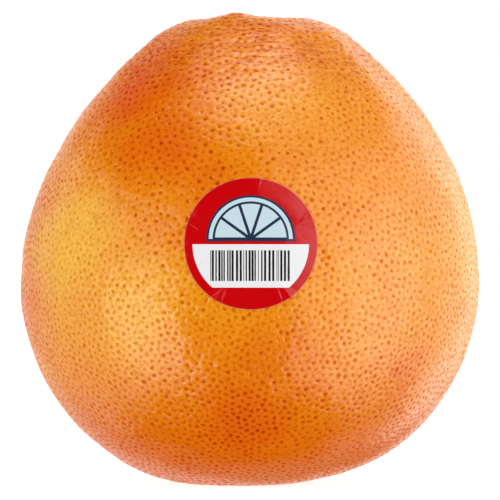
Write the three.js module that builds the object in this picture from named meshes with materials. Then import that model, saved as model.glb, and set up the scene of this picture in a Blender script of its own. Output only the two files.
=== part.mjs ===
// A whole grapefruit with a drawn-out stem end, the dry calyx button in its stem hollow and a round
// fruit label stuck on its front. Millimetres, +Z up, the front towards -Y. The fruit stands on its flat
// blossom end at z = 0, and the origin is the middle of the bottom of the whole part's box.
import * as THREE from "three";
import { mergeVertices } from "three/addons/utils/BufferGeometryUtils.js";

// The fruit's half outline, from the flat foot over the belly and the shoulder to the stem rim
const FOOT_RADIUS = 7.5; // flat spot that it rests on
const BELLY_RADIUS = 57.2; // at its widest
const BELLY_LEVEL = 49; // height of the widest place
const SHOULDER_RADIUS = 25; // where the cone of the neck turns into the crown
const SHOULDER_LEVEL = 111.5;
const SHOULDER_SLOPE = 0.69; // radians between the cone and the level at the shoulder
const RIM_RADIUS = 12.5; // crest round the stem hollow
const RIM_LEVEL = 116.1;
const FOOT_REACH = 35.4; // lengths of the curves' handles: how far each stretch runs straight
const LOWER_BELLY_REACH = 17.8;
const UPPER_BELLY_REACH = 31.8;
const NECK_REACH = 14.7;
const CROWN_REACH = 4.4;
const RIM_REACH = 5.2;

// The stem hollow inside the rim
const HOLLOW_FLOOR_RADIUS = 5.6;
const HOLLOW_DEPTH = 5; // below the rim
const HOLLOW_REACH = 3.4; // on the rim
const HOLLOW_FLOOR_REACH = 1.7;

// How the grown fruit departs from a turned shape
const DEPTH_RATIO = 0.986; // front-to-back width over side-to-side width
const LOBES = [
  // count round the fruit, share of the radius, turn in radians
  { count: 2, share: 0.0035, turn: 0.9 },
  { count: 3, share: 0.0045, turn: 1.7 },
  { count: 5, share: 0.0025, turn: 0.4 },
];
const NECK_SHIFT = 0.8; // the neck stands this far towards +X of the belly
const NECK_SHIFT_START = 40; // from this height
const NECK_SHIFT_FULL = 102; // to this one
const FOOT_SHIFT = -2.2; // and the foot this far towards -X
const FOOT_SHIFT_HEIGHT = 9; // below this height
const FURROWS = 9; // shallow radial furrows between the ridges of the neck
const FURROW_DEPTH = 0.9;
const FURROW_WANDER = 0.15; // radians by which their spacing varies, twice round the neck
const FURROW_TURN = 1;
const FURROW_END = 78; // they fade out down the neck at this height
const FURROW_FULL = 113; // and reach their full depth here
const FURROW_CLEARANCE = 1; // between the hollow's floor and where they start
// Soft bumps on the crest of the stem rim: azimuth in degrees, height, half-width in millimetres
const RIM_BUMPS = [
  { azimuth: 252, height: 1.55, reach: 4.6 },
  { azimuth: 300, height: 0.3, reach: 7 },
  { azimuth: 20, height: 0.7, reach: 7 },
  { azimuth: 104, height: 0.9, reach: 6 },
  { azimuth: 172, height: 0.4, reach: 6 },
];

// The calyx button
const BUTTON_RADIUS = 4.3; // mean, between the tips and the notches of its sepals
const BUTTON_HEIGHT = 1.8;
const BUTTON_FOOT_SHARE = 0.9; // its foot's radius over its own
const BUTTON_BULGE = { level: 0.36, edge: 0.9 }; // heights of its widest place and of its upper edge
const BUTTON_EDGE_SHARE = 0.95; // the upper edge's radius over its own
const BUTTON_CROWN = { share: 0.75, level: 1.53 }; // where the sepals level out
const BUTTON_SCAR_RADIUS = 2; // where the stalk broke off
const BUTTON_SCAR_FLOOR_RADIUS = 1.4;
const BUTTON_SCAR_DEPTH = 0.5;
const SEPALS = 5;
const SEPAL_SHARE = 0.16; // of the radius, at the tips and notches
const GAP = 0.3; // between a piece and the skin that it sits on

// The label
const LABEL_RADIUS = 16.1;
const LABEL_THICKNESS = 0.2;
const LABEL_LEVEL = 60.4; // height of its middle
const LABEL_SHIFT = 0.05; // of its middle along X

// Facets
const FRUIT_SPOKES = 72;
const CURVE_STEPS = { foot: 14, neck: 14, crown: 6, hollow: 5 };
const BUTTON_SPOKES = 40;
const LABEL_SPOKES = 48;
const LABEL_RINGS = 5;
const OUTLINE_STEPS = 100; // in each stretch, where a height is looked up

const point = (radius, height) => new THREE.Vector2(radius, height);

// A cubic curve between two outline points, leaving `from` along `leave` and reaching `to` along `arrive`
function stretch(from, leave, leaveReach, to, arrive, arriveReach) {
  return new THREE.CubicBezierCurve(
    from,
    from.clone().addScaledVector(leave, leaveReach),
    to.clone().addScaledVector(arrive, -arriveReach),
    to,
  );
}

const foot = point(FOOT_RADIUS, 0);
const belly = point(BELLY_RADIUS, BELLY_LEVEL);
const shoulder = point(SHOULDER_RADIUS, SHOULDER_LEVEL);
const rim = point(RIM_RADIUS, RIM_LEVEL);
const hollowFloor = point(HOLLOW_FLOOR_RADIUS, RIM_LEVEL - HOLLOW_DEPTH);
const outwards = point(1, 0);
const upwards = point(0, 1);
const inwards = point(-1, 0);
const upTheNeck = point(-Math.cos(SHOULDER_SLOPE), Math.sin(SHOULDER_SLOPE));

const outlineStretches = [
  {
    curve: stretch(foot, outwards, FOOT_REACH, belly, upwards, LOWER_BELLY_REACH),
    steps: CURVE_STEPS.foot,
  },
  {
    curve: stretch(belly, upwards, UPPER_BELLY_REACH, shoulder, upTheNeck, NECK_REACH),
    steps: CURVE_STEPS.neck,
  },
  {
    curve: stretch(shoulder, upTheNeck, CROWN_REACH, rim, inwards, RIM_REACH),
    steps: CURVE_STEPS.crown,
  },
  {
    curve: stretch(rim, inwards, HOLLOW_REACH, hollowFloor, inwards, HOLLOW_FLOOR_REACH),
    steps: CURVE_STEPS.hollow,
  },
];

// The whole half outline, from the axis under the foot to the axis in the hollow
function fruitOutline() {
  const points = [point(0, 0), foot];
  for (const { curve, steps } of outlineStretches) {
    points.push(...curve.getSpacedPoints(steps).slice(1));
  }
  points.push(point(0, hollowFloor.y));
  return points;
}

const sideOutline = outlineStretches
  .slice(0, -1)
  .flatMap(({ curve }) => curve.getSpacedPoints(OUTLINE_STEPS));

// The turned radius of the fruit's side at a height
function sideRadius(height) {
  const above = Math.max(1, sideOutline.findIndex((p) => p.y >= height));
  const low = sideOutline[above - 1];
  const high = sideOutline[above];
  return THREE.MathUtils.mapLinear(height, low.y, high.y, low.x, high.x);
}

// How steeply the side leans in at a height: its rise over the way along the outline
function sideRise(height) {
  const step = 1;
  const narrowed = sideRadius(height - step / 2) - sideRadius(height + step / 2);
  return step / Math.hypot(step, narrowed);
}

// Takes a point of the turned fruit to where it is on the grown one
function grow(turned) {
  const azimuth = Math.atan2(turned.y, turned.x);
  let radius = Math.hypot(turned.x, turned.y);
  const height = turned.z;

  const bulge = THREE.MathUtils.smoothstep(height, 0, BELLY_LEVEL);
  for (const { count, share, turn } of LOBES) {
    radius *= 1 + bulge * share * Math.cos(count * azimuth + turn);
  }

  // Furrows run down the outside of the neck and over the rim into the hollow
  const wander = FURROW_WANDER * Math.sin(2 * azimuth + FURROW_TURN);
  const furrow = 0.5 - 0.5 * Math.cos(FURROWS * (azimuth + wander));
  const onNeck = THREE.MathUtils.smoothstep(height, FURROW_END, FURROW_FULL);
  const pastFloor = THREE.MathUtils.smoothstep(
    radius,
    HOLLOW_FLOOR_RADIUS + FURROW_CLEARANCE,
    RIM_RADIUS,
  );
  radius -= FURROW_DEPTH * furrow * onNeck * pastFloor;

  let lift = 0;
  for (const bump of RIM_BUMPS) {
    const direction = THREE.MathUtils.degToRad(bump.azimuth);
    const dx = radius * Math.cos(azimuth) - RIM_RADIUS * Math.cos(direction);
    const dy = radius * Math.sin(azimuth) - RIM_RADIUS * Math.sin(direction);
    lift += bump.height * Math.exp(-(dx * dx + dy * dy) / bump.reach ** 2);
  }
  lift *= onNeck * pastFloor;

  const shift =
    NECK_SHIFT * THREE.MathUtils.smoothstep(height, NECK_SHIFT_START, NECK_SHIFT_FULL) +
    FOOT_SHIFT * (1 - THREE.MathUtils.smoothstep(height, 0, FOOT_SHIFT_HEIGHT));
  return new THREE.Vector3(
    radius * Math.cos(azimuth) + shift,
    radius * Math.sin(azimuth) * DEPTH_RATIO,
    height + lift,
  );
}

// A turned solid about Z with its vertices merged, each one then moved by `place`
function turnedSolid(outline, spokes, place) {
  const turned = new THREE.LatheGeometry(outline, spokes).rotateX(Math.PI / 2);
  turned.deleteAttribute("normal");
  turned.deleteAttribute("uv");
  const solid = mergeVertices(turned, 1e-4);
  const position = solid.getAttribute("position");
  for (let i = 0; i < position.count; i++) {
    const moved = place(new THREE.Vector3().fromBufferAttribute(position, i));
    position.setXYZ(i, moved.x, moved.y, moved.z);
  }
  solid.computeVertexNormals();
  return solid;
}

function piece(name, geometry, look) {
  const mesh = new THREE.Mesh(geometry, new THREE.MeshStandardMaterial(look));
  mesh.name = name;
  return mesh;
}

// Peel and flesh, grown as one
function makeFruit() {
  return piece("fruit", turnedSolid(fruitOutline(), FRUIT_SPOKES, grow), {
    color: 0xf09436,
    roughness: 0.45,
    metalness: 0,
  });
}

// The woody button in the hollow: a low star of sepals round the scar of the stalk
function makeStemButton() {
  const scarFloor = BUTTON_HEIGHT - BUTTON_SCAR_DEPTH;
  const outline = [
    point(0, 0),
    point(BUTTON_SCAR_RADIUS, 0),
    point(BUTTON_RADIUS * BUTTON_FOOT_SHARE, 0),
    point(BUTTON_RADIUS, BUTTON_BULGE.level),
    point(BUTTON_RADIUS * BUTTON_EDGE_SHARE, BUTTON_BULGE.edge),
    point(BUTTON_RADIUS * BUTTON_CROWN.share, BUTTON_CROWN.level),
    point(BUTTON_SCAR_RADIUS, BUTTON_HEIGHT),
    point(BUTTON_SCAR_FLOOR_RADIUS, scarFloor),
    point(0, scarFloor),
  ];
  const sepals = ({ x, y, z }) => {
    const out = THREE.MathUtils.smoothstep(Math.hypot(x, y), BUTTON_SCAR_RADIUS, BUTTON_RADIUS);
    const scale = 1 + SEPAL_SHARE * out * Math.cos(SEPALS * Math.atan2(y, x));
    return new THREE.Vector3(
      x * scale + NECK_SHIFT,
      y * scale,
      z + hollowFloor.y + GAP,
    );
  };
  return piece("stem_button", turnedSolid(outline, BUTTON_SPOKES, sepals), {
    color: 0x6b5a35,
    roughness: 0.85,
    metalness: 0,
  });
}

// The film label: a thin disc bent round the side, just clear of the skin
function makeLabel() {
  const under = [];
  for (let ring = 0; ring <= LABEL_RINGS; ring++) {
    under.push(point((LABEL_RADIUS * ring) / LABEL_RINGS, 0));
  }
  const over = under.map((p) => point(p.x, LABEL_THICKNESS)).reverse();
  const bend = (flat) => {
    const halfway = sideRise(LABEL_LEVEL + flat.y / 2);
    const height = LABEL_LEVEL + flat.y * halfway;
    const radius = sideRadius(height);
    const azimuth = -Math.PI / 2 + (flat.x + LABEL_SHIFT) / radius;
    const clear = radius + GAP + flat.z;
    return grow(
      new THREE.Vector3(clear * Math.cos(azimuth), clear * Math.sin(azimuth), height),
    );
  };
  return piece("label", turnedSolid([...under, ...over], LABEL_SPOKES, bend), {
    color: 0xd01818,
    roughness: 0.35,
    metalness: 0,
  });
}

const group = new THREE.Group();
group.name = "grapefruit";
group.add(makeFruit(), makeStemButton(), makeLabel());

const box = new THREE.Box3().setFromObject(group);
const middle = box.getCenter(new THREE.Vector3());
group.position.set(-middle.x, -middle.y, -box.min.z);

export default group;
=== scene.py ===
# A whole grapefruit on a pale floor: pored peel, calyx button and round fruit label around the CAD frame.
import math

import bpy
import numpy as np
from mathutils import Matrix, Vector, noise
from mathutils.bvhtree import BVHTree
from mathutils.geometry import delaunay_2d_cdt
from mathutils.kdtree import KDTree


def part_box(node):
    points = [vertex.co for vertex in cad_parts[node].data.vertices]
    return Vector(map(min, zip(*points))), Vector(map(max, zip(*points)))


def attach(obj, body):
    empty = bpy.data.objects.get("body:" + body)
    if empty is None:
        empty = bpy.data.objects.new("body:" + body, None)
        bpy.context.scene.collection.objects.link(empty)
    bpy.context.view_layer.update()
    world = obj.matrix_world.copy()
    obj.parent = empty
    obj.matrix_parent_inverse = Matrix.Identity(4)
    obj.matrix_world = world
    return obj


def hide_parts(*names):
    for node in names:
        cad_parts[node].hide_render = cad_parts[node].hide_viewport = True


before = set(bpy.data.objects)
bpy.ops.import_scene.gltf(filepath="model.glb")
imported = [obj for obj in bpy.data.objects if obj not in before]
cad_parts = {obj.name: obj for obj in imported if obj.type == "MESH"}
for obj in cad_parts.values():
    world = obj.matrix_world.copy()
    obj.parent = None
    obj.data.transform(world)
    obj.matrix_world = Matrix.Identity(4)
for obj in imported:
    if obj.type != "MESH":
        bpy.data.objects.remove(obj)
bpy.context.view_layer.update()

MM = 0.001
FAR_OUT = 1.0  # where rays onto the fruit start, well clear of it
SEED = 7
LABEL_SEED = 11


# ---------------------------------------------------------------- camera, first, so that views are stable
FRAME_WIDTH = 125 * MM  # what the square picture takes in at the fruit's middle
CAMERA_DISTANCE = 1.3
CAMERA_ELEVATION = 0.0  # level with the middle of the fruit
TARGET_SHARE = 0.498  # of the fruit's height
SENSOR = 36.0


def add_camera():
    low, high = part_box("fruit")
    target = Vector((0, 0, low.z + TARGET_SHARE * (high.z - low.z)))
    data = bpy.data.cameras.new("camera")
    data.sensor_width = SENSOR
    data.lens = SENSOR * CAMERA_DISTANCE / FRAME_WIDTH
    camera = bpy.data.objects.new("camera", data)
    away = Vector((0, -math.cos(CAMERA_ELEVATION), math.sin(CAMERA_ELEVATION)))
    camera.location = target + CAMERA_DISTANCE * away
    camera.rotation_euler = away.to_track_quat("Z", "Y").to_euler()
    bpy.context.scene.collection.objects.link(camera)
    bpy.context.scene.camera = camera


# ---------------------------------------------------------------- node trees
SLANT_LOSS = 0.7  # share of the gloss lost along the surface, where the relief of the wax shades itself
EVEN_BLEND = 0.5  # with it, Facing is 1 less the cosine of the slant


class Nodes:
    """Makes nodes in a tree. An input is a number, a colour or another node's output."""

    def __init__(self, tree):
        self.tree = tree

    def feed(self, socket, value):
        if isinstance(value, bpy.types.NodeSocket):
            self.tree.links.new(value, socket)
        else:
            socket.default_value = value

    def add(self, kind, inputs=None, **settings):
        made = self.tree.nodes.new("ShaderNode" + kind)
        for key, value in settings.items():
            setattr(made, key, value)
        for key, value in (inputs or {}).items():
            self.feed(made.inputs[key], value)
        return made

    def mix(self, factor, a, b, blend="MIX"):
        made = self.add("Mix", data_type="RGBA", blend_type=blend, clamp_factor=True)
        for index, value in ((0, factor), (6, a), (7, b)):
            self.feed(made.inputs[index], value)
        return made.outputs[2]

    def tint(self, factor, colour, by):
        """The colour multiplied by another one, as far as the factor says."""
        return self.mix(factor, colour, by, "MULTIPLY")

    def math(self, operation, *values, clamp=False):
        made = self.add("Math", operation=operation, use_clamp=clamp)
        for index, value in enumerate(values):
            self.feed(made.inputs[index], value)
        return made.outputs[0]

    def gloss_left(self, slant):
        """The share of the gloss that is left at a slant, from 0 head-on to 1 along the surface."""
        return self.math("MULTIPLY_ADD", self.math("MULTIPLY", slant, slant), -SLANT_LOSS, 1.0)

    def remap(self, value, low, high, to_low=0.0, to_high=1.0):
        """The value taken smoothly from one range to the other, and held at its ends."""
        inputs = {"Value": value, "From Min": low, "From Max": high}
        inputs.update({"To Min": to_low, "To Max": to_high})
        return self.add("MapRange", inputs, interpolation_type="SMOOTHSTEP").outputs[0]


class Shader(Nodes):
    """A node material round a Principled surface."""

    def __init__(self, name):
        self.material = bpy.data.materials.new(name)
        self.material.use_nodes = True
        super().__init__(self.material.node_tree)

    def set(self, **inputs):
        for key, value in inputs.items():
            self.feed(self.tree.nodes["Principled BSDF"].inputs[key.replace("_", " ")], value)

    def attribute(self, name, output="Fac"):
        return self.add("Attribute", attribute_name=name).outputs[output]

    def place(self):
        return self.add("TexCoord").outputs["Object"]

    def noise(self, scale, detail, roughness, at=None):
        inputs = {"Vector": at or self.place(), "Scale": scale, "Detail": detail}
        inputs["Roughness"] = roughness
        return self.add("TexNoise", inputs).outputs["Fac"]

    def slant(self):
        """0 where the surface is seen head-on, 1 where it is seen along itself."""
        return self.add("LayerWeight", {"Blend": EVEN_BLEND}).outputs["Facing"]

    def bump(self, height, strength, distance):
        inputs = {"Height": height, "Strength": strength, "Distance": distance}
        return self.add("Bump", inputs).outputs[0]


# ---------------------------------------------------------------- surfaces
# Seeds of the noise in the shapes. The broad lumps and the spots take the next ones as well
BROAD_NOISE = 0
FINE_NOISE = 5
FOLD_NOISE = 11
SEPAL_NOISE = 21
FIBRE_NOISE = 22
PITH_NOISE = 23
SPOT_NOISE = 30
SEED_SHIFT = (17.3, 5.1, 9.7)  # steps of the noise between one seed and the next
STEPS_PER_LUMP = 2.0
OCTAVE_FALL = 1.0  # power by which finer octaves are weaker
OCTAVE_RATIO = 2.0
OFF_ZERO = 0.3  # the noise is 0 at whole steps, so points in a plane are taken off them
RAYS_PER_POINT = 3  # cast for each point of a random spread, since most of them are dropped
NEIGHBOURS = 6  # that push a point in each round
PUSH = 0.4  # of the distance that is missing
TINY = 1e-9  # keeps two points in one place from dividing by zero
NEARLY_UP = np.array([0.013, 0.007, 1.0])  # along no normal, so that it gives each normal a side
RING_UNEVEN = (0.88, 1.12)  # range of a ring's radius
SAME_RAY = 1e-12  # rays nearer than this would fall together


class Skin:
    """A closed surface that every ray from its core crosses once."""

    def __init__(self, vertices, faces, core):
        self.tree = BVHTree.FromPolygons([Vector(v) for v in vertices], faces)
        self.core = np.array(core)

    def hits(self, starts, rays):
        """Where the rays first cross the surface, and its normals there."""
        found = np.empty((len(starts), 3))
        normals = np.empty((len(starts), 3))
        for i, (start, ray) in enumerate(zip(starts, rays)):
            found[i], normals[i] = self.tree.ray_cast(Vector(start), Vector(ray))[:2]
        return found, normals

    def under(self, points):
        """The same for the rays from the core through the points."""
        return self.hits(np.broadcast_to(self.core, points.shape), points - self.core)

    def random(self, rng, count, crowd=None):
        """Points spread at random, as many on each square millimetre, or by how much they `crowd`."""
        rays = rng.normal(size=(count * RAYS_PER_POINT, 3))
        rays /= np.linalg.norm(rays, axis=1, keepdims=True)
        points, normals = self.under(self.core + rays)
        reach = points - self.core
        area = (reach**2).sum(1) / np.abs((rays * normals).sum(1))
        area = area * (crowd(points) if crowd else 1.0)
        kept = rng.random(len(rays)) * area.max() < area
        chosen = points[kept]
        while len(chosen) < count:
            chosen = np.concatenate([chosen, self.random(rng, count - len(chosen), crowd)])
        return chosen[:count]


def tree_of(points):
    tree = KDTree(len(points))
    for i, p in enumerate(points):
        tree.insert(p, i)
    tree.balance()
    return tree


def clear_of(points, others, distance):
    """A mask of the points that have none of the others nearer than the distance."""
    tree = tree_of(others)
    return np.array([tree.find(p)[2] >= distance for p in points])


def scatter(skin, rng, count, spacing, rounds, kept=None, crowd=None):
    """Random points on the skin that push each other apart until they stand about `spacing` apart,
    nearer where they `crowd`. Points in `kept` push too, but stay where they are."""
    points = skin.random(rng, count, crowd)
    still = np.empty((0, 3)) if kept is None else kept
    for _ in range(rounds):
        everyone = np.concatenate([points, still])
        tree = tree_of(everyone)
        near = np.array([[hit[1] for hit in tree.find_n(p, NEIGHBOURS + 1)[1:]] for p in points])
        away = points[:, None] - everyone[near]
        gap = np.linalg.norm(away, axis=2, keepdims=True) + TINY
        wanted = spacing / np.sqrt(crowd(points) if crowd else np.ones(len(points)))
        push = np.clip(wanted[:, None, None] - gap, 0, None) * away / gap
        points = skin.under(points + PUSH * push.sum(1))[0]
    return points


def tangents(normals):
    """Two directions along the skin for each normal, at right angles to each other."""
    across = np.cross(normals, NEARLY_UP)
    across /= np.linalg.norm(across, axis=1, keepdims=True)
    return across, np.cross(normals, across)


def rings(rng, centres, normals, wide, tall, count):
    """`count` points round each centre, in one array: all of the first centre's, then the next one's."""
    across, along = tangents(normals)
    turn = rng.random(len(centres)) * 2 * math.pi
    angles = turn[:, None] + np.arange(count) * 2 * math.pi / count
    uneven = rng.uniform(*RING_UNEVEN, (len(centres), count))
    offsets = (uneven * wide[:, None] * np.cos(angles))[..., None] * across[:, None]
    offsets = offsets + (uneven * tall[:, None] * np.sin(angles))[..., None] * along[:, None]
    return (centres[:, None] + offsets).reshape(-1, 3)


def triangulate(points, core, pole):
    """Triangles over the points of a closed skin, as corner numbers, pointing outwards. The first
    points stand in a circle round the `pole`, and the skin stays open inside that circle."""
    axis = (core - pole) / np.linalg.norm(core - pole)
    side = np.cross(axis, [1.0, 0, 0])
    side /= np.linalg.norm(side)
    other = np.cross(axis, side)
    rays = points - core
    rays /= np.linalg.norm(rays, axis=1, keepdims=True)
    # Seen from the pole, the whole skin lies on a plane, and circles on it stay circles
    flat = np.stack([rays @ side, rays @ other], 1) / (1 + rays @ axis)[:, None]
    made = delaunay_2d_cdt([Vector(p) for p in flat], [], [], 0, SAME_RAY, False)
    assert len(made[0]) == len(points), "two points of the skin fell together"
    faces = np.array(made[2])
    a, b, c = (points[faces[:, i]] for i in range(3))
    inwards = (np.cross(b - a, c - a) * (a - core)).sum(1) < 0
    faces[inwards] = faces[inwards][:, ::-1]
    return faces


def edges_of(faces):
    pairs = np.concatenate([faces[:, [0, 1]], faces[:, [1, 2]], faces[:, [2, 0]]])
    return np.unique(np.sort(pairs, axis=1), axis=0)


def smoothed(values, edges, rounds):
    """Each value drawn to the mean of its neighbours', again and again."""
    a, b = edges.T
    degree = np.bincount(np.concatenate([a, b]), minlength=len(values))
    for _ in range(rounds):
        total = np.bincount(a, values[b], len(values)) + np.bincount(b, values[a], len(values))
        values = (values + total / degree) / 2
    return values


def vertex_normals(points, faces):
    a, b, c = (points[faces[:, i]] for i in range(3))
    area = np.cross(b - a, c - a)
    total = np.zeros_like(points)
    for axis in range(3):
        for corner in range(3):
            total[:, axis] += np.bincount(faces[:, corner], area[:, axis], len(points))
    return total / np.linalg.norm(total, axis=1, keepdims=True)


def field(points, size, seed, octaves=1):
    """Smooth noise from about -1 to 1, with lumps of about `size`, in the points' own unit."""
    shift = Vector([seed * step for step in SEED_SHIFT])
    places = [Vector(p) * (STEPS_PER_LUMP / size) + shift for p in points]
    return np.array([noise.fractal(place, OCTAVE_FALL, OCTAVE_RATIO, octaves) for place in places])


def smoothstep(value, low, high):
    """0 up to `low`, 1 from `high` on, and a smooth rise in between."""
    t = np.clip((value - low) / (high - low), 0, 1)
    return t * t * (3 - 2 * t)


def mesh_object(name, points, faces, attributes=None):
    """A smooth-shaded object, with a number at each point for every attribute."""
    mesh = bpy.data.meshes.new(name)
    mesh.from_pydata(np.asarray(points).tolist(), [], [list(face) for face in faces])
    for key, values in (attributes or {}).items():
        made = mesh.attributes.new(key, "FLOAT", "POINT")
        made.data.foreach_set("value", np.asarray(values, np.float32))
    mesh.shade_smooth()
    obj = bpy.data.objects.new(name, mesh)
    bpy.context.scene.collection.objects.link(obj)
    return obj


def with_thickness(faces, rim, count):
    """The faces of an upper side, the same ones turned over, `count` points on, for the lower side, and
    walls along the rim."""
    lower = [[corner + count for corner in reversed(face)] for face in faces]
    walls = [(j, i, i + count, j + count) for i, j in rim]
    return faces + lower + walls


def corners_of(node):
    return np.array([v.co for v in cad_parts[node].data.vertices])


def dress(obj, material, node):
    obj.data.materials.append(material)
    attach(obj, "root")
    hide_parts(node)


# ---------------------------------------------------------------- peel: shape
PORES = 11000
PORE_SPACING = 2.2 * MM
PORE_RADIUS = (0.8 * MM, 0.98 * MM)
PORE_ROUNDS = 12  # of pushing each other apart
PORE_MARGIN = 1.2 * MM  # kept clear round the scar of the style
PORE_CROWDING = (1.12, 0.82)  # how dense they stand, at the blossom end and at the neck
CROWDED_BELOW = 15 * MM
PORE_STRENGTH = (0.26, 0.7)  # the faintest pore's, and how much more the boldest one has
PORE_SPREAD = (1.4, 1.9)  # shape of the beta distribution in between
RADIUS_SHARES = (0.8, 0.3)  # of its radius a pore always has, and has by its strength
PORE_FAINTEST = 0.52  # share of their strength left outside the bold spots
BOLD_ABOVE = (84 * MM, 92 * MM)  # from there up they are a little bolder
BOLD_TOP = 0.55  # and by this much
PORE_DEPTH = (0.05 * MM, 0.38 * MM)
PORE_CORNERS = 6
RING_SHARE = 0.12  # how much of a pore's depth is left at its ring
SPECKS = 14000  # small glands between the pores
SPECK_SPACING = 1.5 * MM
SPECK_ROUNDS = 6
SPECK_MARGIN = 1.0 * MM
SPECK_CLEARANCE = 1.14 * MM
SPECK_DEPTH = 0.035 * MM
SPECK_STRENGTH = (0.2, 1)
FILL_POINTS = 40000
FILL_SPACING = 0.9 * MM
FILL_ROUNDS = 3
FILL_MARGIN = 0.5 * MM
FILL_CLEARANCE = 0.36 * MM
SCAR_RADIUS = 2.4 * MM  # the scar of the style at the blossom end
SCAR_POINTS = 24
SCAR_DEPTH = 0.5 * MM
SCAR_SLOPE = 1.4  # in scar radii, where the peel starts to sink into it
WOODY_FOOT = (0.5, 1.9)  # in scar radii, between which its woody colour fades out
WOODY_STEM = (4.5 * MM, 8 * MM)  # and round the calyx, from the stem's middle
WOODY_AT_STEM = 0.7
SMOOTHING = 26  # rounds that take away the facets of the CAD surface
HOLLOW_SMOOTHING = 7  # and the smaller ones of the stem hollow
HOLLOW_EDGE = (17 * MM, 34 * MM)  # from the stem
BROAD_LUMPS = ((22 * MM, 0.22 * MM), (9 * MM, 0.08 * MM))  # size and height
FINE_LUMPS = ((2.6 * MM, 0.035 * MM),)
MOST_LUMP = 0.05 * MM
NECK_START = 96 * MM  # folds run round the neck from here
NECK_FULL = 107 * MM
UP_THE_NECK = (-0.77, 0.64)  # outwards and upwards
FOLD_LENGTH = 8.5 * MM  # one step of the noise
FOLD_WIDTH = 1.5 * MM
FOLD_HEIGHT = 0.19 * MM
NECK_PORE_STRETCH = (1.45, 0.85)  # of the pores, along the folds and across them
LEVEL_WITHIN = 0.001 * MM  # heights that count as the foot's


def lumps(points, sizes, seed):
    """The height of lumps of several sizes."""
    return sum(height * field(points, size, seed + i) for i, (size, height) in enumerate(sizes))


def folds(points, stem):
    """The fine folds that run round the neck, from about -1 to 1."""
    out = np.hypot(points[:, 0] - stem[0], points[:, 1] - stem[1])
    slant = UP_THE_NECK[0] * out + UP_THE_NECK[1] * points[:, 2]
    place = np.stack([points[:, 0] / FOLD_LENGTH, points[:, 1] / FOLD_LENGTH, slant / FOLD_WIDTH], 1)
    return field(place, STEPS_PER_LUMP, FOLD_NOISE)


def crowding(points):
    """How dense the pores stand at each point, against their number on the whole fruit."""
    low, high = PORE_CROWDING
    return low + (high - low) * smoothstep(points[:, 2], CROWDED_BELOW, NECK_FULL)


def off_the_scar(points, foot, margin):
    return points[np.linalg.norm(points - foot, axis=1) > SCAR_RADIUS + margin]


def lay_out_glands(skin, rng, foot):
    """Points on the scar's edge, the pores, the rings round them and the specks between them, and then
    how strong each pore is."""
    pores = scatter(skin, rng, PORES, PORE_SPACING, PORE_ROUNDS, crowd=crowding)
    pores = off_the_scar(pores, foot, PORE_MARGIN)
    specks = scatter(skin, rng, SPECKS, SPECK_SPACING, SPECK_ROUNDS, pores)
    specks = off_the_scar(specks[clear_of(specks, pores, SPECK_CLEARANCE)], foot, SPECK_MARGIN)
    least, more = PORE_STRENGTH
    strength = least + more * rng.beta(*PORE_SPREAD, len(pores))
    always, by_strength = RADIUS_SHARES
    radius = rng.uniform(*PORE_RADIUS, len(pores)) * (always + by_strength * strength)
    bold = np.maximum(zones(pores)[BOLD], BOLD_TOP * smoothstep(pores[:, 2], *BOLD_ABOVE))
    strength *= PORE_FAINTEST + (1 - PORE_FAINTEST) * bold
    neck = smoothstep(pores[:, 2], NECK_START, NECK_FULL)
    wide, tall = (radius * (1 + neck * (ratio - 1)) for ratio in NECK_PORE_STRETCH)
    pore_rings = rings(rng, pores, skin.under(pores)[1], wide, tall, PORE_CORNERS)
    around = np.arange(SCAR_POINTS) * 2 * math.pi / SCAR_POINTS
    scar = foot + SCAR_RADIUS * np.stack([np.cos(around), np.sin(around), 0 * around], 1)
    return [scar, pores, pore_rings, specks], strength


def cover(skin, rng, marks, foot):
    """The marks with enough points to fill the skin between them, and the triangles over them all."""
    marks = np.concatenate(marks)
    fill = scatter(skin, rng, FILL_POINTS, FILL_SPACING, FILL_ROUNDS)
    fill = off_the_scar(fill[clear_of(fill, marks, FILL_CLEARANCE)], foot, FILL_MARGIN)
    points = skin.under(np.concatenate([marks, fill]))[0]
    faces = triangulate(points, skin.core, foot)
    # The scar's circle is closed round its middle, with faces that point down
    fan = [[len(points), (i + 1) % SCAR_POINTS, i] for i in range(SCAR_POINTS)]
    return np.concatenate([points, [foot]]), np.concatenate([faces, fan])


def without_facets(skin, points, faces, from_stem):
    """The points with the facets of the CAD surface smoothed away."""
    edges = edges_of(faces)
    rays = points - skin.core
    reach = np.linalg.norm(rays, axis=1)
    rays /= reach[:, None]
    little = smoothed(reach, edges, HOLLOW_SMOOTHING)
    much = smoothed(little, edges, SMOOTHING - HOLLOW_SMOOTHING)
    reach = little + (much - little) * smoothstep(from_stem, *HOLLOW_EDGE)
    return skin.core + rays * reach[:, None]


def gland_masks(marks, strength, count, rng):
    """Masks of the pores and specks for all the `count` points, and how deep they are sunk."""
    ends = np.cumsum([len(mark) for mark in marks])
    centre, ring, speck = (slice(start, end) for start, end in zip(ends, ends[1:]))
    masks = {name: np.zeros(count) for name in ("pore", "strength", "speck")}
    masks["pore"][centre] = 1.0
    masks["strength"][centre] = strength
    masks["strength"][ring] = np.repeat(strength, PORE_CORNERS)
    masks["speck"][speck] = rng.uniform(*SPECK_STRENGTH, len(marks[-1]))
    depth = np.zeros(count)
    depth[centre] = PORE_DEPTH[0] + (PORE_DEPTH[1] - PORE_DEPTH[0]) * strength
    depth[ring] = np.repeat(RING_SHARE * depth[centre], PORE_CORNERS)
    depth[speck] = SPECK_DEPTH
    return masks, depth


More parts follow.
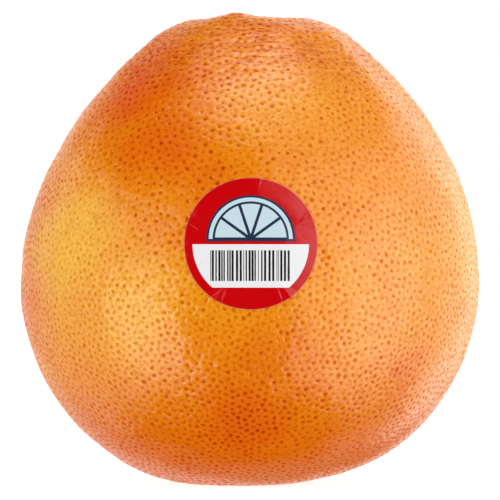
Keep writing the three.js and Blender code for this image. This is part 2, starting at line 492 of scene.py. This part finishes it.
def make_fruit():
    """Makes the peel. Gives back the skin without its pores, for what sits on it."""
    rng = np.random.default_rng(SEED)
    corners = corners_of("fruit")
    low, high = corners.min(0), corners.max(0)
    foot = corners[corners[:, 2] < low[2] + LEVEL_WITHIN].mean(0)
    stem = corners_of("stem_button").mean(0)
    sides = [side.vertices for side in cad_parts["fruit"].data.polygons]
    skin = Skin(corners, sides, (low + high) / 2)

    marks, strength = lay_out_glands(skin, rng, foot)
    points, faces = cover(skin, rng, marks, foot)
    from_stem = np.linalg.norm(points - stem, axis=1)
    points = without_facets(skin, points, faces, from_stem)
    to_foot = np.linalg.norm(points - foot, axis=1)
    normals = vertex_normals(points, faces)
    smooth = points + normals * lumps(points, BROAD_LUMPS, BROAD_NOISE)[:, None]

    masks, depth = gland_masks(marks, strength, len(points), rng)
    depth += SCAR_DEPTH * (1 - smoothstep(to_foot, 0, SCAR_SLOPE * SCAR_RADIUS))
    masks["neck"] = smoothstep(points[:, 2], NECK_START, NECK_FULL)
    woody_foot = 1 - smoothstep(to_foot, *(share * SCAR_RADIUS for share in WOODY_FOOT))
    woody_stem = WOODY_AT_STEM * (1 - smoothstep(from_stem, *WOODY_STEM))
    masks["woody"] = np.maximum(woody_foot, woody_stem)
    colours = zones(points)
    masks.update({name: colours[name] for name in (YELLOW, DEEP_TONE_AND_SHADE, BLUSH)})
    lift = np.minimum(lumps(points, FINE_LUMPS, FINE_NOISE), MOST_LUMP)
    lift += FOLD_HEIGHT * masks["neck"] * folds(points, stem)
    points = smooth + normals * (lift - depth)[:, None]
    points[:, 2] = np.maximum(points[:, 2], low[2])

    fruit = mesh_object("grapefruit_peel", points, faces, masks)
    dress(fruit, peel_material(stem), "fruit")
    return Skin(smooth, faces, skin.core)


# ---------------------------------------------------------------- peel: colour
# The deep orange mask is partly the peel's own tone and partly painted shade, laid where the peel lies in
# less light: the blossom end, the lower front and the upper left
YELLOW, DEEP_TONE_AND_SHADE, BLUSH = "yellow", "deep", "blush"
BOLD = "bold"  # not a colour: the pores are strong there
# Soft spots: mask, azimuth (-90 is the front), share of the height, reach, amount
SPOTS = (
    (YELLOW, -140, 0.52, 16 * MM, 1.0),
    (YELLOW, -121, 0.40, 15 * MM, 0.6),
    (YELLOW, -84, 0.82, 11 * MM, 0.35),
    (YELLOW, -63, 0.40, 11 * MM, 0.3),
    (YELLOW, -42, 0.46, 13 * MM, 0.35),
    (YELLOW, -8, 0.53, 24 * MM, 0.7),
    (YELLOW, -5, 0.93, 18 * MM, 0.3),
    # Deep spots on the front half: painted shade, a darker orange where the peel lies in less light
    (DEEP_TONE_AND_SHADE, -86, 0.27, 11 * MM, 0.5),
    (DEEP_TONE_AND_SHADE, -89, 0.12, 19 * MM, 0.85),
    (DEEP_TONE_AND_SHADE, -118, 0.72, 15 * MM, 0.75),
    (DEEP_TONE_AND_SHADE, -140, 0.84, 19 * MM, 0.95),
    (DEEP_TONE_AND_SHADE, -106, 0.82, 10 * MM, 0.45),
    (DEEP_TONE_AND_SHADE, -102, 0.66, 9 * MM, 0.5),
    (DEEP_TONE_AND_SHADE, -90, 0.97, 22 * MM, 0.3),
    (DEEP_TONE_AND_SHADE, -42, 0.22, 10 * MM, 0.5),
    (DEEP_TONE_AND_SHADE, -166, 0.60, 11 * MM, 0.5),
    (DEEP_TONE_AND_SHADE, -166, 0.38, 12 * MM, 0.5),
    (BLUSH, -60, 0.45, 26 * MM, 0.6),
    (BLUSH, -40, 0.68, 22 * MM, 0.4),
    (YELLOW, 60, 0.45, 26 * MM, 0.8),
    (DEEP_TONE_AND_SHADE, 120, 0.6, 30 * MM, 0.6),
    (BLUSH, 165, 0.35, 26 * MM, 0.6),
    (BOLD, -98, 0.54, 32 * MM, 1.0),
    (BOLD, -107, 0.22, 20 * MM, 0.8),
    (BOLD, -73, 0.22, 22 * MM, 0.6),
    (BOLD, -90, 0.14, 24 * MM, 0.8),
    (BOLD, -112, 0.72, 22 * MM, 0.9),
    (BOLD, -160, 0.62, 16 * MM, 0.9),
    (BOLD, 20, 0.5, 32 * MM, 0.8),
    (BOLD, 130, 0.45, 32 * MM, 0.8),
)
SKIN_ORANGES = ((0.89, 0.29, 0.001, 1), (0.91, 0.34, 0.002, 1))
SKIN_COLOURS = {
    BLUSH: (0.92, 0.31, 0.01, 1),
    YELLOW: (0.94, 0.52, 0.015, 1),
    DEEP_TONE_AND_SHADE: (0.82, 0.115, 0.0, 1),
}
# What the skin's colour is multiplied by in the pores, on orange skin and on the others
PORE_TINT = (0.62, 0.04, 0.0, 1)
PORE_TINTS = {
    BLUSH: (0.62, 0.12, 0.0, 1),
    YELLOW: (0.62, 0.42, 0.0, 1),
    DEEP_TONE_AND_SHADE: (0.42, 0.0, 0.0, 1),
}
MOTTLE_TINT = (0.95, 0.82, 0.6, 1)
CELL_TINT = (0.92, 0.78, 0.4, 1)
# Painted shade in the creases between the neck's folds
CREASE_SHADE_TINT = (0.86, 0.64, 0.4, 1)
SPECK_TINT = (0.84, 0.68, 0.4, 1)
WOODY_COLOUR = (0.42, 0.25, 0.08, 1)
PALE_FAINTER = 0.3  # changes of the power to which the pores' strength is raised
DEEP_BOLDER = 0.4
CORK_AMOUNT = 1.2  # how far the noise breaks up the woody edges
SKIN_ROUGHNESS = 0.42
WOODY_ROUGHER = 0.4
WAX_ROUGHNESS = 0.15
PIT_DULLS = 0.5  # shares of the gloss lost in the pits, by their strength, and in the rest
PORE_DULLS = 0.55
SPECK_DULLS = 0.5
MOTTLE_DULLS = 0.3
FOLD_RELIEF = 3.0  # in the bump, against the fine grain's
PORE_RELIEF = 1.5
SPOT_WANDER = (24 * MM, 5 * MM)  # size and strength of the lumps in the spots' outlines
DEEP_SHADE_BELOW = (0.05, 0.32)  # height shares between which the painted shade at the blossom end, a deeper orange, fades out
DEEP_SHADE_AT_FOOT = 0.7
OUTLINE_BAND = 3 * MM  # half the band of heights in which a spot looks for the outline


def zones(points):
    """A mask for each kind of soft spot."""
    low, high = points.min(0), points.max(0)
    middle = (low + high) / 2
    level = (points[:, 2] - low[2]) / (high[2] - low[2])
    made = {name: np.zeros(len(points)) for name in (YELLOW, DEEP_TONE_AND_SHADE, BLUSH, BOLD)}
    # Painted shade: deeper orange towards the bottom of the fruit
    made[DEEP_TONE_AND_SHADE] = DEEP_SHADE_AT_FOOT * (1 - smoothstep(level, *DEEP_SHADE_BELOW))
    size, strength = SPOT_WANDER
    wander = np.stack([field(points, size, SPOT_NOISE + axis, octaves=2) for axis in range(3)], 1)
    shaken = points + strength * wander
    for name, azimuth, share, reach, amount in SPOTS:
        angle = math.radians(azimuth)
        height = low[2] + share * (high[2] - low[2])
        near = np.abs(points[:, 2] - height) < OUTLINE_BAND
        ray = np.array([math.cos(angle), math.sin(angle)])
        out = ((points[near, :2] - middle[:2]) @ ray).max()
        place = np.array([middle[0] + out * ray[0], middle[1] + out * ray[1], height])
        far = np.linalg.norm(shaken - place, axis=1)
        made[name] = np.maximum(made[name], amount * np.exp(-((far / reach) ** 2)))
    return made


def neck_place(shader, stem):
    """Coordinates in which the noise of the neck is drawn out round the stem."""
    x, y, z = shader.add("SeparateXYZ", {0: shader.place()}).outputs
    from_stem = shader.add("CombineXYZ", {0: shader.math("SUBTRACT", x, stem[0]), 1: y})
    out = shader.add("VectorMath", {0: from_stem.outputs[0]}, operation="LENGTH").outputs["Value"]
    slant = shader.math("MULTIPLY_ADD", out, UP_THE_NECK[0], shader.math("MULTIPLY", z, UP_THE_NECK[1]))
    place = {0: shader.math("DIVIDE", x, FOLD_LENGTH), 1: shader.math("DIVIDE", y, FOLD_LENGTH)}
    place[2] = shader.math("DIVIDE", slant, FOLD_WIDTH)
    return shader.add("CombineXYZ", place).outputs[0]


def by_zone(peel, colour, colours):
    """The colour, changed to each of the others where the mesh has that zone."""
    for name, other in colours.items():
        colour = peel.mix(peel.attribute(name), colour, other)
    return colour


def pore_masks(peel):
    """How far down in a pore each place is, and the same by the strength of the pore."""
    pit = peel.remap(peel.attribute("pore"), 0.0, 0.85)
    # The pores stand out less on pale skin and more on deep orange
    pale = peel.math("MAXIMUM", peel.attribute(BLUSH), peel.attribute(YELLOW))
    faint = peel.math("MULTIPLY_ADD", pale, PALE_FAINTER, 1.0)
    faint = peel.math("MULTIPLY_ADD", peel.attribute(DEEP_TONE_AND_SHADE), -DEEP_BOLDER, faint)
    strength = peel.math("POWER", peel.attribute("strength"), faint)
    return pit, peel.math("MULTIPLY", pit, strength)


def woody_mask(peel):
    """The woody parts, with corky edges."""
    cork = peel.noise(scale=600, detail=3, roughness=0.6)
    corky = peel.math("MULTIPLY_ADD", cork, CORK_AMOUNT, -CORK_AMOUNT / 2)
    return peel.remap(peel.math("ADD", peel.attribute("woody"), corky), 0.3, 0.75)


def peel_colour(peel, mottle, crease_shade, pore, woody):
    """Orange by zone, its deep zone partly painted shade, darker in the cells, pores and specks, with
    painted shade in the neck's creases, and brown where it is woody.
    """
    broad = peel.noise(scale=34, detail=3, roughness=0.55)
    cells = peel.add("TexVoronoi", {"Vector": peel.place(), "Scale": 1100.0}).outputs["Distance"]
    orange = peel.mix(peel.remap(broad, 0.3, 0.7), *SKIN_ORANGES)
    orange = by_zone(peel, orange, SKIN_COLOURS)
    orange = peel.tint(mottle, orange, MOTTLE_TINT)
    orange = peel.tint(peel.remap(cells, 0.5, 0.2), orange, CELL_TINT)
    orange = peel.tint(crease_shade, orange, CREASE_SHADE_TINT)
    orange = peel.tint(pore, orange, by_zone(peel, PORE_TINT, PORE_TINTS))
    orange = peel.tint(peel.attribute("speck"), orange, SPECK_TINT)
    return peel.mix(woody, orange, WOODY_COLOUR)


def wax(peel, mottle, pit, pore):
    """The gloss of the clear coat: weaker in the pores, specks and mottle, and at a slant."""
    coat = peel.math("MULTIPLY_ADD", pit, -PIT_DULLS, 1.0)
    coat = peel.math("MULTIPLY_ADD", pore, -PORE_DULLS, coat)
    coat = peel.math("MULTIPLY_ADD", peel.attribute("speck"), -SPECK_DULLS, coat)
    coat = peel.math("MULTIPLY_ADD", mottle, -MOTTLE_DULLS, coat, clamp=True)
    return peel.math("MULTIPLY", coat, peel.gloss_left(peel.slant()))


def peel_material(stem):
    """Waxed peel: an orange skin under a clear coat, both of them changed by the masks of the mesh."""
    peel = Shader("peel")
    grain = peel.noise(scale=1250, detail=3, roughness=0.6)
    mottle = peel.remap(grain, 0.38, 0.64)
    drawn = peel.noise(scale=1.6, detail=2, roughness=0.5, at=neck_place(peel, stem))
    neck = peel.attribute("neck")
    # Painted shade: darker colour in the creases between the neck's folds
    crease_shade = peel.math("MULTIPLY", neck, peel.remap(drawn, 0.55, 0.38))
    pit, pore = pore_masks(peel)
    woody = woody_mask(peel)
    height = peel.math("MULTIPLY_ADD", peel.math("MULTIPLY", neck, drawn), FOLD_RELIEF, grain)
    height = peel.math("MULTIPLY_ADD", pore, -PORE_RELIEF, height)
    peel.set(
        Base_Color=peel_colour(peel, mottle, crease_shade, pore, woody),
        Roughness=peel.math("MULTIPLY_ADD", woody, WOODY_ROUGHER, SKIN_ROUGHNESS),
        Specular_IOR_Level=0.0,
        Coat_Weight=wax(peel, mottle, pit, pore),
        Coat_Roughness=WAX_ROUGHNESS,
        Subsurface_Weight=0.08,
        Subsurface_Radius=(1.0, 0.35, 0.08),
        Subsurface_Scale=0.6 * MM,
        Normal=peel.bump(height, strength=0.5, distance=0.2 * MM),
    )
    return peel.material


# ---------------------------------------------------------------- label
# The print, in label radii from its middle
RED, WHITE, PALE_BLUE, NAVY, BLACK, CUT = range(6)
INKS = {
    RED: (0.60, 0.0, 0.002),
    WHITE: (0.86, 0.86, 0.87),
    PALE_BLUE: (0.58, 0.74, 0.80),
    NAVY: (0.022, 0.034, 0.075),
    BLACK: (0.012, 0.012, 0.013),
    CUT: (0.7, 0.22, 0.2),
}
GRAIN_TINT = (0.86, 0.86, 0.86, 1)
PRINT_RADIUS = 0.995  # outside it, the film's dull cut edge
FIELD_RADIUS = 0.87  # of the white field under the slice
FIELD_TOP = -0.01
FIELD_BOTTOM = -0.66
SLICE_RINGS = ((0.66, NAVY), (0.625, PALE_BLUE), (0.565, NAVY))  # half rings, then its segments
SLICE_LEVEL = 0.07
SLICE_BASE = 0.035  # thickness of the line under the slice
SEGMENTS = 5
SEGMENT_RADIUS = 0.53
MEMBRANE = 0.022  # half the width of the line between segments
BARS = 26
BAR_ENDS = (-0.56, -0.10)
WIDEST_BAR = 3  # of the thinnest one's width
BAR_SPAN = 0.60  # half of what they take up with their gaps
LABEL_BEND = 0.295  # radians from its middle to its edge
LABEL_GRID = 0.055
LABEL_EDGES = 120
FIELD_STEPS, SLICE_STEPS, SEGMENT_STEPS = 24, 48, 10  # in their arcs
SAME_PLACE = 1e-6  # points of the print nearer than this are one
CREASE_REACH = 0.999  # where they end, just inside the edge
CREASE_ANGLE = 3.5  # degrees; the creases of the tucks and the rim are sharper
FILM_GLOSS = 0.7
LABEL_CLEAR = 0.07 * MM
FILM = 0.09 * MM
# Small tucks at the edge, where the flat film can't follow the round peel:
# angle and half width in degrees, how far in they start, and height
TUCKS = (
    (-54, 8, 0.62, 0.30 * MM),
    (-121, 5, 0.72, 0.22 * MM),
    (22, 9, 0.74, 0.16 * MM),
    (82, 2.6, 0.82, 0.14 * MM),
    (166, 4, 0.8, 0.12 * MM),
)


def turned(radius, angle, centre=(0.0, 0.0)):
    return (centre[0] + radius * math.cos(angle), centre[1] + radius * math.sin(angle))


def arc(radius, start, end, steps, centre=(0.0, 0.0)):
    return [turned(radius, start + (end - start) * i / steps, centre) for i in range(steps + 1)]


def stepped(outline):
    """The closed outline with points added where its sides are long, so that it can bend."""
    made = []
    for start, end in zip(outline, outline[1:] + outline[:1]):
        steps = max(1, math.ceil(math.dist(start, end) / LABEL_GRID))
        made += [tuple(np.add(start, np.subtract(end, start) * i / steps)) for i in range(steps)]
    return made


def print_shapes(rng):
    """The label's print as (outline, ink), each one painted over those before it."""
    discs = ((1.0, CUT), (PRINT_RADIUS, RED))
    shapes = [(arc(radius, 0, 2 * math.pi, LABEL_EDGES)[:-1], ink) for radius, ink in discs]
    top = math.asin(FIELD_TOP / FIELD_RADIUS)
    bottom = math.asin(FIELD_BOTTOM / FIELD_RADIUS)
    right = arc(FIELD_RADIUS, bottom, top, FIELD_STEPS)
    shapes.append((right + [(-x, y) for x, y in reversed(right)], WHITE))
    side, base = SLICE_RINGS[0][0], SLICE_LEVEL - SLICE_BASE
    shapes.append(([(-side, base), (side, base), (side, SLICE_LEVEL), (-side, SLICE_LEVEL)], NAVY))
    middle = (0.0, SLICE_LEVEL)
    for radius, ink in SLICE_RINGS:
        shapes.append((arc(radius, 0, math.pi, SLICE_STEPS, middle), ink))
    wedge = math.pi / SEGMENTS
    inset = math.asin(MEMBRANE / SEGMENT_RADIUS)
    for i in range(SEGMENTS):
        start, end = i * wedge, (i + 1) * wedge
        tip = turned(MEMBRANE / math.sin(wedge / 2), (start + end) / 2, middle)
        outer = arc(SEGMENT_RADIUS, start + inset, end - inset, SEGMENT_STEPS, middle)
        shapes.append((outer + [tip], PALE_BLUE))
    widths = rng.integers(1, WIDEST_BAR + 1, 2 * BARS)
    edges = np.concatenate([[0], np.cumsum(widths)])
    edges = (edges / edges[-1] - 0.5) * 2 * BAR_SPAN
    low, high = BAR_ENDS
    for left, right in zip(edges[0:-1:2], edges[1::2]):
        shapes.append(([(left, low), (right, low), (right, high), (left, high)], BLACK))
    return shapes


def tuck_corners(angle, half_width, start):
    """A tuck's apex, its ridge's outer end and its two outer corners, on the flat label."""
    angle, half_width = math.radians(angle), math.radians(half_width)
    ridge = turned(1.0, angle)
    sides = [turned(1.0, angle - half_width), turned(1.0, angle + half_width)]
    return turned(start, angle), ridge, sides


def tuck_height(flat):
    """How far the tucks lift each point of the flat label."""
    lift = np.zeros(len(flat))
    for angle, half_width, start, height in TUCKS:
        apex, ridge, sides = tuck_corners(angle, half_width, start)
        for side in sides:
            basis = np.array([np.subtract(side, apex), np.subtract(ridge, apex)]).T
            shares = np.linalg.solve(basis, (flat - apex).T)
            inside = (shares > -SAME_PLACE).all(0)
            lift[inside] = height * shares[1, inside]
    return lift


def flat_label(rng):
    """The label's flat points and triangles, and an ink for each triangle."""
    shapes = print_shapes(rng)
    points, outlines, lines = [], [], []
    for outline, _ in shapes:
        outline = stepped(outline)
        outlines.append(list(range(len(points), len(points) + len(outline))))
        points += outline
    for angle, half_width, start, _ in TUCKS:
        apex, ridge, sides = tuck_corners(angle, half_width, start)
        for end in (ridge, *sides):
            lines.append((len(points), len(points) + 1))
            points += [apex, np.multiply(end, CREASE_REACH)]
    steps = np.arange(-1 + LABEL_GRID / 2, 1, LABEL_GRID)
    points += [(x, y) for x in steps for y in steps if math.hypot(x, y) < 1 - LABEL_GRID / 2]
    vectors = [Vector(p) for p in points]
    made = delaunay_2d_cdt(vectors, lines, outlines, 0, SAME_PLACE, True)
    flat, faces, owners = np.array(made[0]), np.array(made[2]), made[5]
    return flat, faces, [shapes[max(owner)][1] if owner else RED for owner in owners]


def make_label(skin):
    """The round film, bent onto the skin from in front."""
    rng = np.random.default_rng(LABEL_SEED)
    flat, faces, inks = flat_label(rng)
    low, high = (np.array(corner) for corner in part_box("label"))
    middle, half = (low + high) / 2, (high - low) / 2
    bent = np.sin(flat * LABEL_BEND) / math.sin(LABEL_BEND)
    across, upwards = (middle[axis] + half[axis] * bent[:, i] for i, axis in enumerate((0, 2)))
    starts = np.stack([across, np.full(len(flat), -FAR_OUT), upwards], 1)
    hits, normals = skin.hits(starts, np.broadcast_to([0.0, 1.0, 0.0], starts.shape))
    lift = LABEL_CLEAR + tuck_height(flat)
    under = hits + normals * lift[:, None]
    over = hits + normals * (lift + FILM)[:, None]

    a, b, c = (over[faces[:, i]] for i in range(3))
    away = (np.cross(b - a, c - a) * normals[faces[:, 0]]).sum(1) < 0
    faces[away] = faces[away][:, ::-1]
    sides = np.concatenate([faces[:, [0, 1]], faces[:, [1, 2]], faces[:, [2, 0]]])
    known = {tuple(side) for side in sides.tolist()}
    rim = [(i, j) for i, j in known if (j, i) not in known]
    everything = with_thickness(faces.tolist(), rim, len(flat))
    label = mesh_object("fruit_label", np.concatenate([over, under]), everything)
    colours = [INKS[ink] for ink in inks] + [INKS[WHITE]] * len(faces) + [INKS[CUT]] * len(rim)
    ink_of = label.data.attributes.new("ink", "FLOAT_COLOR", "FACE")
    ink_of.data.foreach_set("color", np.insert(np.array(colours), 3, 1.0, axis=1).ravel())
    label.data.set_sharp_from_angle(angle=math.radians(CREASE_ANGLE))
    dress(label, label_material(), "label")


def label_material():
    """Thin glossy plastic with a faint grain in its inks."""
    film = Shader("label_film")
    grain = film.noise(scale=2600, detail=2, roughness=0.6)
    wave = film.noise(scale=160, detail=1, roughness=0.5)
    ink = film.attribute("ink", "Color")
    ink = film.tint(film.remap(grain, 0.3, 0.8, 0, 0.35), ink, GRAIN_TINT)
    film.set(
        Base_Color=ink,
        Roughness=film.remap(grain, 0.2, 0.8, 0.26, 0.34),
        Specular_IOR_Level=0.0,
        Coat_Weight=film.math("MULTIPLY", FILM_GLOSS, film.gloss_left(film.slant())),
        Coat_Roughness=0.1,
        Normal=film.bump(wave, strength=0.25, distance=0.2 * MM),
    )
    return film.material


# ---------------------------------------------------------------- calyx button
SEPALS = 5
SEPAL_SHARE = 0.16  # of the radius, at the tips and notches
BUTTON_SPOKES = 150
BUTTON_RINGS = 30
SEPAL_UNEVEN = 0.05  # of the radius
UNEVEN_SIZE = 0.7
STALK_SCAR = 0.42  # of the radius
SCAR_WALL = 0.65  # of the scar's radius: within it, the hollow has its full depth
SCAR_TINTED = 0.7  # and within this, its full colour
SCAR_HOLLOW = 0.55 * MM
SEPAL_FOOT = 1.05  # of the radius, where the slope of the sepals ends
SEPAL_EDGE = 0.45 * MM  # thickness at the rim
NOTCH_DEPTH = 0.35 * MM
NOTCH_WIDTH = 0.22
NOTCH_FULL = 0.7  # of the radius
FIBRE_DEPTH = 0.10 * MM
FIBRES_ROUND = 4
FIBRE_DRIFT = 1.2  # how much they change on their way out
FIBRES_FROM = 0.8  # of the scar's radius
PITH_SIZE = 0.9 * MM
BUTTON_CLEAR = 0.03 * MM
BUTTON_LEAST = 0.2 * MM  # thickness
CALYX_BROWNS = ((0.16, 0.12, 0.035, 1), (0.27, 0.20, 0.07, 1))
FIBRE_GAP_TINT = (0.5, 0.45, 0.4, 1)
SCAR_COLOUR = (0.36, 0.27, 0.14, 1)
DUST_TINT = (0.6, 0.55, 0.5, 1)


def button_grid():
    """Shares of the radius and angles of the button's points: ring by ring, and then its centre."""
    share = np.repeat(np.linspace(0, 1, BUTTON_RINGS + 1)[1:], BUTTON_SPOKES)
    angle = np.tile(np.arange(BUTTON_SPOKES) * 2 * math.pi / BUTTON_SPOKES, BUTTON_RINGS)
    return np.append(share, 0), np.append(angle, 0)


def button_faces():
    """Quads between the rings of the grid and triangles round its centre."""
    centre = BUTTON_RINGS * BUTTON_SPOKES
    faces = []
    for ring in range(BUTTON_RINGS - 1):
        for spoke in range(BUTTON_SPOKES):
            a = ring * BUTTON_SPOKES + spoke
            b = ring * BUTTON_SPOKES + (spoke + 1) % BUTTON_SPOKES
            faces.append((a, a + BUTTON_SPOKES, b + BUTTON_SPOKES, b))
    return faces + [(centre, i, (i + 1) % BUTTON_SPOKES) for i in range(BUTTON_SPOKES)]


def make_button(skin):
    """The dry calyx in the hollow: five sepals round the scar of the stalk."""
    corners = corners_of("stem_button")
    stem = corners.mean(0)
    out = np.hypot(*(corners[:, :2] - stem[:2]).T)
    radius = out.max() / (1 + SEPAL_SHARE)
    top = corners[:, 2].max()

    share, angle = button_grid()
    circle = np.stack([np.cos(angle), np.sin(angle)], 1)
    raised = np.insert(circle, 2, OFF_ZERO, axis=1)
    uneven = SEPAL_UNEVEN * field(raised, UNEVEN_SIZE, SEPAL_NOISE, octaves=2)
    past_scar = smoothstep(share, STALK_SCAR, 1)
    grown = radius * share * (1 + past_scar * (SEPAL_SHARE * np.cos(SEPALS * angle) + uneven))
    flat = stem[:2] + grown[:, None] * circle

    starts = np.insert(flat, 2, FAR_OUT, axis=1)
    floor = skin.hits(starts, np.broadcast_to([0.0, 0.0, -1.0], starts.shape))[0][:, 2]
    bottom = floor + BUTTON_CLEAR
    edge = bottom + SEPAL_EDGE
    crest = smoothstep(share, SEPAL_FOOT, STALK_SCAR)
    level = edge + (np.maximum(top - FIBRE_DEPTH, edge) - edge) * crest
    level -= SCAR_HOLLOW * smoothstep(share, STALK_SCAR, STALK_SCAR * SCAR_WALL)
    notch = np.exp(-((np.cos(SEPALS * angle / 2) / NOTCH_WIDTH) ** 2))
    level -= NOTCH_DEPTH * notch * smoothstep(share, STALK_SCAR, NOTCH_FULL)
    grain = np.insert(FIBRES_ROUND * circle, 2, FIBRE_DRIFT * share, axis=1)
    fibres = field(grain, 1, FIBRE_NOISE, octaves=3)
    pith = field(np.insert(flat, 2, 0, axis=1), PITH_SIZE, PITH_NOISE, octaves=2)
    level += FIBRE_DEPTH * np.where(share > STALK_SCAR * FIBRES_FROM, fibres, pith)
    level = np.maximum(level, bottom + BUTTON_LEAST)

    rim = [(BUTTON_RINGS - 1) * BUTTON_SPOKES + i for i in range(BUTTON_SPOKES)]
    faces = with_thickness(button_faces(), zip(rim, rim[1:] + rim[:1]), len(flat))
    points = np.concatenate([np.insert(flat, 2, level, axis=1), np.insert(flat, 2, bottom, axis=1)])
    masks = {"scar": np.tile(smoothstep(share, STALK_SCAR, STALK_SCAR * SCAR_TINTED), 2)}
    masks["fibre"] = np.tile(fibres, 2)
    button = mesh_object("calyx_button", points, faces, masks)
    dress(button, calyx_material(), "stem_button")


def calyx_material():
    """Dry brown wood, darker between its fibres and paler on the scar of the stalk."""
    calyx = Shader("calyx")
    blotch = calyx.noise(scale=500, detail=3, roughness=0.6)
    grain = calyx.noise(scale=4000, detail=2, roughness=0.6)
    brown = calyx.mix(calyx.remap(blotch, 0.3, 0.7), *CALYX_BROWNS)
    brown = calyx.tint(calyx.remap(calyx.attribute("fibre"), 0.1, -0.5), brown, FIBRE_GAP_TINT)
    brown = calyx.mix(calyx.attribute("scar"), brown, SCAR_COLOUR)
    brown = calyx.tint(calyx.remap(grain, 0.4, 0.7, 0, 0.5), brown, DUST_TINT)
    calyx.set(
        Base_Color=brown,
        Roughness=calyx.remap(grain, 0.3, 0.7, 0.75, 0.95),
        Specular_IOR_Level=0.25,
        Normal=calyx.bump(grain, strength=0.5, distance=0.1 * MM),
    )
    return calyx.material


# ---------------------------------------------------------------- floor and studio light
FLOOR_REACH = 40.0  # from its middle to its sides
FLOOR_GLOW = 0.86  # light of its own, so that it comes out white
FLOOR_GREY = 0.6
# Soft boxes round the fruit: azimuth (0 is the front, 90 the right) and elevation, both from and to in
# degrees, half the width in which their edges fade, and radiance. Where boxes overlap, they add up. The
# ends of a box that reaches the back or the top lie beyond it, so that it doesn't fade there
SOFTBOXES = (
    ((-100, -35), (-54, 30), 5, 1.65),
    ((-134, -100), (-48, 30), 5, 1.25),
    ((-72, -39), (-43, 4), 8, 2.5),
    ((-200, -134), (-40, 20), 6, 0.82),
    ((-200, -134), (-60, -40), 6, 0.4),
    ((-200, -120), (20, 60), 6, 0.25),
    ((-200, -145), (20, 38), 6, 0.35),
    ((22, 95), (-55, 39), 9, 2.3),
    ((95, 152), (-34, 41), 9, 2.3),
    ((95, 152), (-57, -31), 9, 0.8),
    ((46, 90), (-39, 24), 13, 2.3),
    ((152, 200), (-19, 60), 9, 1.1),
    ((152, 200), (-60, -24), 9, 0.35),
    ((6, 92), (37, 62), 9, 1.25),
    ((92, 160), (43, 62), 9, 0.65),
    ((-400, 400), (63, 100), 7, 1.1),
    ((-95, 150), (63, 100), 7, 0.8),
    ((-75, 115), (76, 100), 6, 3.5),
)
DARK_STUDIO = 0.0  # between the boxes
FILL_LEVEL = 0.95  # even light that the peel scatters
FILL_TO_RIGHT = 0.02
FILL_TO_FRONT = 0.17
FILL_TO_TOP = -0.12
FILL_FROM_BELOW = 0.75  # what is left of it from below
BELOW = (-0.9, -0.2)  # z of the light's direction, from all below to none of it
FILL_FROM_CORNER = 0.28  # more from the upper right
CORNER = (1.0, 1.3)  # x + z of the light's direction, from outside this corner to inside it


def softbox_light(sky, y, azimuth, elevation):
    """What the gloss reflects: the soft boxes in a dark studio."""
    boxes = DARK_STUDIO
    for sides, levels, soft, radiance in SOFTBOXES:
        lit = radiance
        for angle, (start, end) in ((azimuth, sides), (elevation, levels)):
            edges = [math.radians(a) for a in (start - soft, start + soft, end - soft, end + soft)]
            rise = sky.remap(angle, edges[0], edges[1])
            fall = sky.remap(angle, edges[2], edges[3], 1.0, 0.0)
            lit = sky.math("MULTIPLY", lit, sky.math("MULTIPLY", rise, fall))
        boxes = sky.math("ADD", boxes, lit)
    # Peel that mirrors a direction to the front is seen at a slant whose cosine is `head_on`, and the
    # boxes are brighter by as much as its gloss loses there
    head_on = sky.math("SQRT", sky.math("MULTIPLY_ADD", y, -0.5, 0.5))
    return sky.math("DIVIDE", boxes, sky.gloss_left(sky.math("SUBTRACT", 1.0, head_on)))


def fill_light(sky, x, y, z):
    """What the colours scatter: an even light, a little stronger from some sides."""
    fill = sky.math("MULTIPLY_ADD", x, FILL_TO_RIGHT, FILL_LEVEL)
    fill = sky.math("MULTIPLY_ADD", y, -FILL_TO_FRONT, fill)
    fill = sky.math("MULTIPLY_ADD", z, FILL_TO_TOP, fill)
    fill = sky.math("MULTIPLY", fill, sky.remap(z, *BELOW, FILL_FROM_BELOW, 1.0))
    corner = sky.remap(sky.math("ADD", x, z), *CORNER, 0.0, FILL_FROM_CORNER)
    return sky.math("ADD", fill, corner)


def add_world():
    """White to the camera, the soft boxes to reflections and the fill to all the rest."""
    world = bpy.data.worlds.new("studio")
    bpy.context.scene.world = world
    world.use_nodes = True
    # The light depends on the kind of ray, so rays find it by themselves
    world.cycles.sampling_method = "NONE"
    sky = Nodes(world.node_tree)
    x, y, z = sky.add("SeparateXYZ", {0: sky.add("TexCoord").outputs["Generated"]}).outputs
    azimuth = sky.math("ARCTAN2", x, sky.math("MULTIPLY", y, -1.0))
    boxes = softbox_light(sky, y, azimuth, sky.math("ARCSINE", z))
    ray = sky.add("LightPath").outputs
    light = sky.mix(ray["Is Glossy Ray"], fill_light(sky, x, y, z), boxes)
    light = sky.mix(ray["Is Camera Ray"], light, (1, 1, 1, 1))
    sky.feed(sky.tree.nodes["Background"].inputs["Color"], light)


def add_floor():
    """A white floor that only the camera sees, so that the peel reflects the studio instead."""
    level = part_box("fruit")[0].z
    corners = [(x * FLOOR_REACH, y * FLOOR_REACH, level) for x, y in ((-1, -1), (1, -1), (1, 1), (-1, 1))]
    floor = mesh_object("floor", corners, [(0, 1, 2, 3)])
    paint = Shader("floor")
    paint.set(
        Base_Color=(FLOOR_GREY, FLOOR_GREY, FLOOR_GREY, 1),
        Roughness=1.0,
        Specular_IOR_Level=0.0,
        Emission_Color=(1, 1, 1, 1),
        Emission_Strength=FLOOR_GLOW,
    )
    floor.data.materials.append(paint.material)
    floor.visible_diffuse = False
    floor.visible_glossy = False


add_camera()
bpy.context.scene.view_settings.view_transform = "Standard"
skin = make_fruit()
make_label(skin)
make_button(skin)
add_world()
add_floor()
